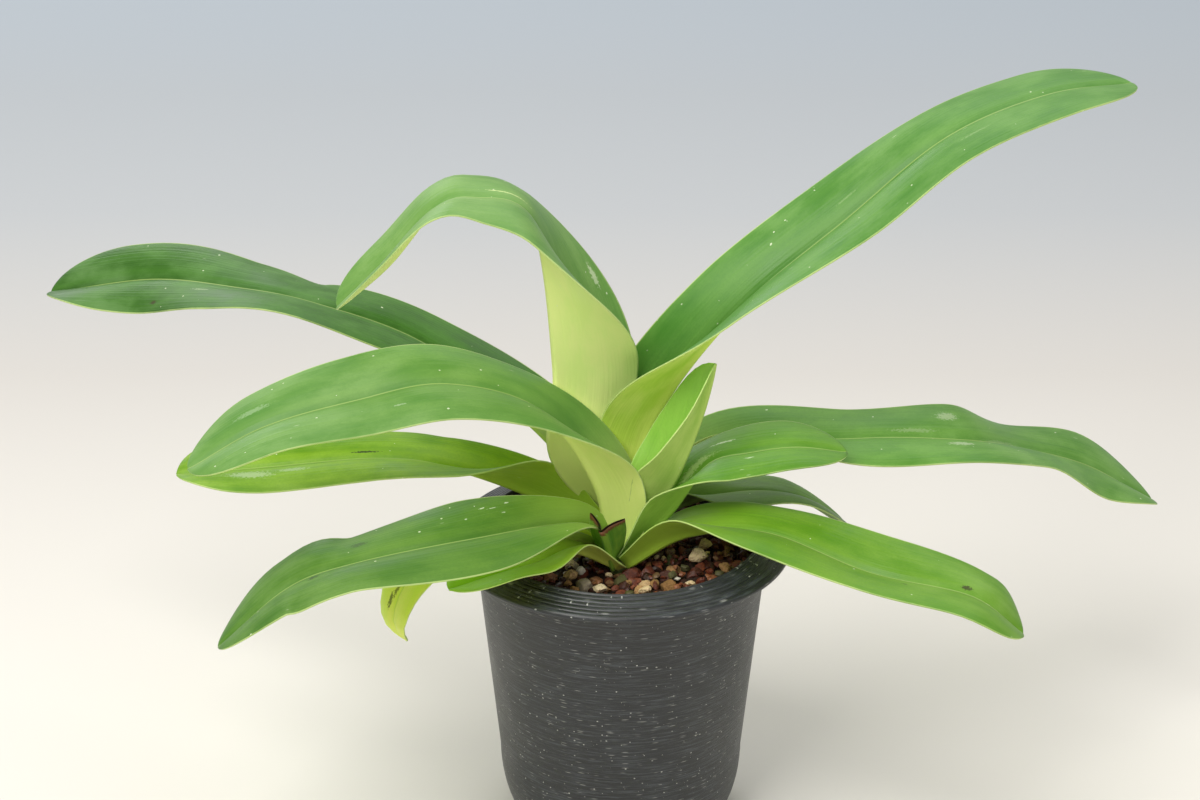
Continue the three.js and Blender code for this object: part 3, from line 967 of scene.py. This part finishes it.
def turned(profile, sides):
    """A profile of radius and height pairs turned about the pot's axis."""
    count = len(profile)
    points, faces = [], []
    for k in range(sides):
        angle = 2 * math.pi * k / sides
        for radius, z in profile:
            points.append(metres(radius * math.cos(angle), radius * math.sin(angle), z))
    for k in range(sides):
        n = (k + 1) % sides
        for j in range(count - 1):
            faces.append((k * count + j, n * count + j, n * count + j + 1, k * count + j + 1))
    return points, faces


def add_pot():
    piece = new_piece("pot_shell", *turned(pot_profile(), POT_SIDES))
    piece.data.shade_smooth()
    piece.data.materials.append(pot_material())
    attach(piece, "root")
    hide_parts("pot")

    base = new_piece("pot_floor", *floor_with_holes())
    base.data.materials.append(piece.data.materials[0])
    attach(base, "root")
    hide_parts("pot")


def floor_with_holes():
    """The flat bottom and the floor above it, with the walls of the drain holes between them."""
    points, faces = [], []
    for z, outer in ((0.0, BASE_RADIUS), (FLOOR, BASE_RADIUS - WALL)):
        for hole in range(DRAIN_HOLES):
            middle = 2 * math.pi * hole / DRAIN_HOLES
            cx = DRAIN_RING_RADIUS * math.cos(middle)
            cy = DRAIN_RING_RADIUS * math.sin(middle)
            first = len(points)
            for k in range(DRAIN_HOLE_SIDES):
                turn = 2 * math.pi * k / DRAIN_HOLE_SIDES
                dx, dy = math.cos(middle + turn), math.sin(middle + turn)
                points.append(metres(cx + DRAIN_HOLE_RADIUS * dx, cy + DRAIN_HOLE_RADIUS * dy, z))
                way = sector_edge(cx, cy, dx, dy, middle, outer)
                points.append(metres(cx + way * dx, cy + way * dy, z))
            for k in range(DRAIN_HOLE_SIDES):
                n = (k + 1) % DRAIN_HOLE_SIDES
                quad = (first + 2 * k, first + 2 * k + 1, first + 2 * n + 1, first + 2 * n)
                faces.append(quad if z else quad[::-1])
    ring = DRAIN_HOLES * DRAIN_HOLE_SIDES * 2
    for hole in range(DRAIN_HOLES):
        first = hole * DRAIN_HOLE_SIDES * 2
        for k in range(DRAIN_HOLE_SIDES):
            n = (k + 1) % DRAIN_HOLE_SIDES
            a, b = first + 2 * k, first + 2 * n
            faces.append((a, b, ring + b, ring + a))
    return points, faces


def sector_edge(cx, cy, dx, dy, middle, outer):
    """How far a ray from a hole's middle runs inside the hole's own sector of the floor."""
    b = cx * dx + cy * dy
    c = cx * cx + cy * cy - outer * outer
    way = -b + math.sqrt(b * b - c)
    sector = math.pi / DRAIN_HOLES
    for edge in (middle - sector, middle + sector):
        nx, ny = -math.sin(edge), math.cos(edge)
        speed = dx * nx + dy * ny
        gap = -(cx * nx + cy * ny)
        if abs(speed) > 1e-9 and gap / speed > 1e-6:
            way = min(way, gap / speed)
    return way


def pot_material():
    """Dark plastic with fine level scratches, pale flecks and worn dashes."""
    m = Nodes("pot_plastic")
    place = m.place()
    x, y, z = m.split(place)
    wrapped = m.vector(times(m, m.math("ARCTAN2", y, x), 0.05), z, 0.0)
    broad = m.noise(place, (30, 30, 30), 3.0, 0.6)
    streak = m.noise(wrapped, (70, 1500, 1), 4.0, 0.75)
    colour = m.mix(m.ramp(broad, 0.3, 0.7), rgba("15181a"), rgba("1f2224"))
    colour = m.mix(m.ramp(streak, 0.46, 0.68, 0.0, 0.7), colour, rgba("484e52"))
    colour = m.mix(m.ramp(streak, 0.3, 0.45, 0.5, 0.0), colour, rgba("141718"))
    near, chance, size = m.cells(wrapped, (560, 760, 1))
    fleck = m.math("LESS_THAN", near, m.ramp(size, 0.0, 1.0, 0.05, 0.2))
    fleck = times(m, fleck, m.ramp(chance, 0.4, 0.95))
    near, chance, _ = m.cells(wrapped, (170, 1500, 1))
    dash = times(m, m.ramp(near, 0.1, 0.3, 1.0, 0.0), m.ramp(chance, 0.5, 0.95))
    worn = m.math("MAXIMUM", times(m, fleck, 0.8), times(m, dash, 0.45))
    colour = m.mix(worn, colour, rgba("b4b5ae"))
    rough = m.ramp(broad, 0.3, 0.7, 0.34, 0.48)
    return m.finish(colour, rough, m.bump(streak, 0.5, 0.0003), 0.6)


# Potting mix


def ball(levels):
    """The points and faces of a round ball with evenly spread triangles."""
    golden = (1 + 5**0.5) / 2
    raw = [(-1, golden, 0), (1, golden, 0), (-1, -golden, 0), (1, -golden, 0)]
    raw += [(0, -1, golden), (0, 1, golden), (0, -1, -golden), (0, 1, -golden)]
    raw += [(golden, 0, -1), (golden, 0, 1), (-golden, 0, -1), (-golden, 0, 1)]
    points = [Vector(p).normalized() for p in raw]
    faces = [(0, 11, 5), (0, 5, 1), (0, 1, 7), (0, 7, 10), (0, 10, 11)]
    faces += [(1, 5, 9), (5, 11, 4), (11, 10, 2), (10, 7, 6), (7, 1, 8)]
    faces += [(3, 9, 4), (3, 4, 2), (3, 2, 6), (3, 6, 8), (3, 8, 9)]
    faces += [(4, 9, 5), (2, 4, 11), (6, 2, 10), (8, 6, 7), (9, 8, 1)]
    for _ in range(levels):
        middles, split = {}, []

        def middle(a, b):
            key = (min(a, b), max(a, b))
            if key not in middles:
                middles[key] = len(points)
                points.append(((points[a] + points[b]) / 2).normalized())
            return middles[key]

        for a, b, c in faces:
            ab, bc, ca = middle(a, b), middle(b, c), middle(c, a)
            split += [(a, ab, ca), (b, bc, ab), (c, ca, bc), (ab, bc, ca)]
        faces = split
    return points, faces


def broken_ball(draw, kind, centre, radius, points, shape, jag):
    """The points of one grain: a dented ball with flat faces broken off."""
    shift = Vector((draw.uniform(0, 90), draw.uniform(0, 90), draw.uniform(0, 90)))
    if shape is None:
        shape = (draw.uniform(1.0, 1.35), draw.uniform(0.8, 1.0), draw.uniform(0.55, 0.85))
    spin = Vector((draw.gauss(0, 0.35), draw.gauss(0, 0.35), draw.uniform(0, 6.3)))
    turn = Euler(spin).to_matrix()
    cuts = []
    for _ in range(GRAIN_CUTS[kind]):
        direction = Vector((draw.gauss(0, 1), draw.gauss(0, 1), draw.gauss(0, 1))).normalized()
        cuts.append((direction, draw.uniform(0.62, 0.86)))
    broken = []
    for p in points:
        q = p * (1 + jag * noise.noise(p * 1.4 + shift) + 0.10 * noise.noise(p * 4.0 + shift))
        for direction, limit in cuts:
            over = q.dot(direction) - limit
            if over > 0:
                q = q - direction * over
        q = Vector((q.x * shape[0], q.y * shape[1], q.z * shape[2])) * radius
        broken.append(metres(*(turn @ q + Vector(centre))))
    return broken


def grain_meshes():
    """Points, faces and tones of all bark, pumice and grit grains."""
    draw = random.Random(SEED)
    fine_ball, plain_ball = ball(2), ball(1)
    meshes = {kind: ([], [], []) for kind in ("bark", "pumice", "grit")}
    placed = []

    def clear(x, y, z, r):
        for px, py, pz, pr in placed:
            distance = (x - px) ** 2 + (y - py) ** 2 + (z - pz) ** 2
            if distance < (GRAIN_CLOSENESS * (r + pr)) ** 2:
                return False
        return True

    def add(kind, x, y, z, r, shape=None, tone=None, jag=None):
        placed.append((x, y, z, r))
        points, faces = fine_ball if r > COARSE_RADIUS else plain_ball
        verts, tris, tones = meshes[kind]
        start = len(verts)
        jag = GRAIN_JAG[kind] if jag is None else jag
        verts.extend(broken_ball(draw, kind, (x, y, z), r, points, shape, jag))
        tris.extend(tuple(start + i for i in face) for face in faces)
        tones.extend([draw.random() if tone is None else tone] * len(points))

    for grain in LARGE_GRAINS:
        add(*grain)
    for tries, least, most, level in GRAIN_LAYERS:
        for _ in range(tries):
            radius = GRAIN_AREA_RADIUS * math.sqrt(draw.random())
            angle = draw.uniform(0, 2 * math.pi)
            x, y = radius * math.cos(angle), radius * math.sin(angle)
            r = draw.uniform(least, most)
            z = level + draw.uniform(-1.0, 0.5) - 0.2 * r
            if math.hypot(x, y) > GRAIN_AREA_RADIUS - r * 0.9:
                continue
            stem_x = (x - STEM_CENTRE[0]) / (STEM_HALF_WIDTH + r * 0.6)
            stem_y = (y - STEM_CENTRE[1]) / (STEM_HALF_DEPTH + r * 0.6)
            if math.hypot(stem_x, stem_y) < 1 or not clear(x, y, z, r):
                continue
            pick = draw.random()
            kind = "bark" if pick < BARK_SHARE else "grit"
            if BARK_SHARE <= pick < BARK_AND_PUMICE_SHARE:
                kind = "pumice"
            add(kind, x, y, z, r)
    return meshes


def add_grains():
    skins = {"bark": bark_skin, "pumice": pumice_skin, "grit": grit_skin}
    for kind, (verts, tris, tones) in grain_meshes().items():
        piece = new_piece(kind + "_grains", verts, tris)
        mesh = piece.data
        layer = mesh.attributes.new("tone", "FLOAT", "POINT")
        layer.data.foreach_set("value", np.array(tones, np.float32))
        mesh.shade_smooth()
        mesh.set_sharp_from_angle(angle=math.radians(EDGE_ANGLE))
        mesh.materials.append(skins[kind]())
        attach(piece, "root")
        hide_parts("potting_mix")


def bark_skin():
    m = Nodes("bark")
    place = m.place()
    grain = m.noise(place, (900, 900, 900), 4.0, 0.65)
    patch = m.noise(place, (260, 260, 260), 3.0, 0.6)
    browns = [(0.0, "2a140c"), (0.25, "482015"), (0.5, "6b301c")]
    browns += [(0.72, "84432a"), (0.9, "a06c44"), (1.0, "5e4e30")]
    colour = m.colours(m.attribute("tone"), browns)
    colour = m.mix(m.ramp(grain, 0.35, 0.7, 0.0, 0.5), colour, rgba("1c0f0a"))
    colour = m.mix(m.ramp(patch, 0.6, 0.8, 0.0, 0.35), colour, rgba("94694e"))
    rough = m.ramp(patch, 0.3, 0.7, 0.3, 0.75)
    return m.finish(colour, rough, m.bump(grain, 0.6, 0.0006), 0.5)


def pumice_skin():
    m = Nodes("pumice")
    place = m.place()
    pores, _, _ = m.cells(place, (1300, 1300, 1300))
    grain = m.noise(place, (700, 700, 700), 4.0, 0.7)
    creams = [(0.0, "8a673c"), (0.4, "ad8656"), (0.75, "d8bd8e"), (1.0, "ead9b4")]
    colour = m.colours(m.attribute("tone"), creams)
    colour = m.mix(m.ramp(grain, 0.45, 0.7, 0.0, 0.5), colour, rgba("7e5b3c"))
    # Painted shade darkens the pores
    colour = m.mix(m.ramp(pores, 0.0, 0.35, 0.35, 0.0), colour, rgba("6a4c34"))
    return m.finish(colour, 0.9, m.bump(m.math("ADD", pores, grain), 0.7, 0.0005), 0.3)


def grit_skin():
    m = Nodes("grit")
    grain = m.noise(m.place(), (800, 800, 800), 3.0, 0.6)
    greys = [(0.0, "4c4a24"), (0.35, "5d5b3a"), (0.6, "85745a"), (0.85, "a59a86"), (1.0, "d9d5c6")]
    colour = m.colours(m.attribute("tone"), greys)
    colour = m.mix(m.ramp(grain, 0.45, 0.75, 0.0, 0.35), colour, rgba("38301f"))
    return m.finish(colour, 0.6, m.bump(grain, 0.4, 0.0004), 0.45)


def add_soil():
    """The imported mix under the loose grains, which also shows through the drain holes."""
    edge = body_radius(MIX_TOP_Z) - WALL - MIX_GAP
    points, faces = [], []
    turns = [2 * math.pi * k / MIX_SIDES for k in range(MIX_SIDES)]
    for i in range(MIX_RINGS + 1):
        radius = edge * i / MIX_RINGS
        for angle in turns:
            x, y = radius * math.cos(angle), radius * math.sin(angle)
            z = MIX_TOP_Z + MIX_UNEVENNESS * noise.noise(Vector((x / 3, y / 3, 4.0)))
            points.append(metres(x, y, z))
    wall = foot_profile(WALL + MIX_GAP, FLOOR + MIX_GAP)[::-1] + [(0.01, FLOOR + MIX_GAP)]
    for radius, z in wall:
        for angle in turns:
            points.append(metres(radius * math.cos(angle), radius * math.sin(angle), z))
    for i in range(MIX_RINGS + len(wall)):
        for k in range(MIX_SIDES):
            n = (k + 1) % MIX_SIDES
            a, b = i * MIX_SIDES, (i + 1) * MIX_SIDES
            faces.append((a + k, b + k, b + n, a + n))
    piece = new_piece("soil", points, faces)
    piece.data.shade_smooth()
    m = Nodes("soil")
    grain = m.noise(m.place(), (500, 500, 500), 5.0, 0.7)
    colour = m.mix(m.ramp(grain, 0.35, 0.7), rgba("1c0f09"), rgba("402416"))
    piece.data.materials.append(m.finish(colour, 0.85, m.bump(grain, 0.8, 0.0012), 0.4))
    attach(piece, "root")
    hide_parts("potting_mix")


# Stem


def add_stem():
    """The base that the leaves grow from, mostly hidden by them."""
    points, faces = [], []
    for size, z in STEM_LEVELS:
        for k in range(STEM_SIDES):
            angle = 2 * math.pi * k / STEM_SIDES
            c, s = math.cos(angle), math.sin(angle)
            bulge = size * (1 + STEM_BULGES * noise.noise(Vector((c * 2, s * 2, z / 4))))
            x = STEM_CENTRE[0] + STEM_HALF_WIDTH * bulge * c
            y = STEM_CENTRE[1] + STEM_HALF_DEPTH * bulge * s
            points.append(metres(x, y, z))
    for i in range(len(STEM_LEVELS) - 1):
        for k in range(STEM_SIDES):
            n = (k + 1) % STEM_SIDES
            a, b = i * STEM_SIDES, (i + 1) * STEM_SIDES
            faces.append((a + k, a + n, b + n, b + k))
    piece = new_piece("stem_base", points, faces)
    piece.data.shade_smooth()
    m = Nodes("stem_skin")
    rings = m.noise(m.place(), (120, 120, 900), 3.0, 0.6)
    colour = m.mix(m.ramp(rings, 0.35, 0.65), rgba("3d4a1c"), rgba("5a6a2a"))
    colour = m.mix(m.ramp(rings, 0.62, 0.8, 0.0, 0.7), colour, rgba("5a4028"))
    piece.data.materials.append(m.finish(colour, 0.7, m.bump(rings, 0.5, 0.0006), 0.35))
    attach(piece, "root")
    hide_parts("stem")


# Floor, light and camera


def add_stage():
    bpy.ops.mesh.primitive_plane_add(size=STAGE_SIZE, location=STAGE_PLACE)
    floor = bpy.context.object
    floor.name = "floor"
    m = Nodes("floor")
    away = m.split(m.add("ShaderNodeNewGeometry").outputs["Position"])[1]
    colour = m.colours(m.ramp(away, 0.0, STAGE_DEPTH), STAGE_COLOURS)
    floor.data.materials.append(m.finish(colour, 0.9, None, 0.1))

    world = bpy.data.worlds.new("studio")
    bpy.context.scene.world = world
    world.use_nodes = True
    sky = world.node_tree.nodes["Background"]
    sky.inputs["Color"].default_value = SKY_COLOUR
    sky.inputs["Strength"].default_value = SKY_STRENGTH
    for lamp in LAMPS:
        add_lamp(*lamp)


def add_lamp(name, at, size, power, colour):
    data = bpy.data.lights.new(name, "AREA")
    data.size = size
    data.energy = power
    data.color = colour
    lamp = bpy.data.objects.new(name, data)
    bpy.context.collection.objects.link(lamp)
    lamp.location = at
    aim = Vector(LAMP_AIM) - Vector(at)
    lamp.rotation_euler = aim.to_track_quat("-Z", "Y").to_euler()


def add_camera():
    data = bpy.data.cameras.new("camera")
    data.sensor_width = SENSOR_WIDTH
    data.lens = LENS
    data.clip_end = CLIP_END
    camera = bpy.data.objects.new("camera", data)
    bpy.context.collection.objects.link(camera)
    camera.location = CAMERA_PLACE
    camera.rotation_euler = (math.pi / 2 - CAMERA_DOWN, 0, 0)
    bpy.context.scene.camera = camera


add_camera()
add_stage()
add_pot()
add_soil()
add_grains()
add_stem()
add_leaves()

bpy.context.scene.view_settings.view_transform = "Standard"
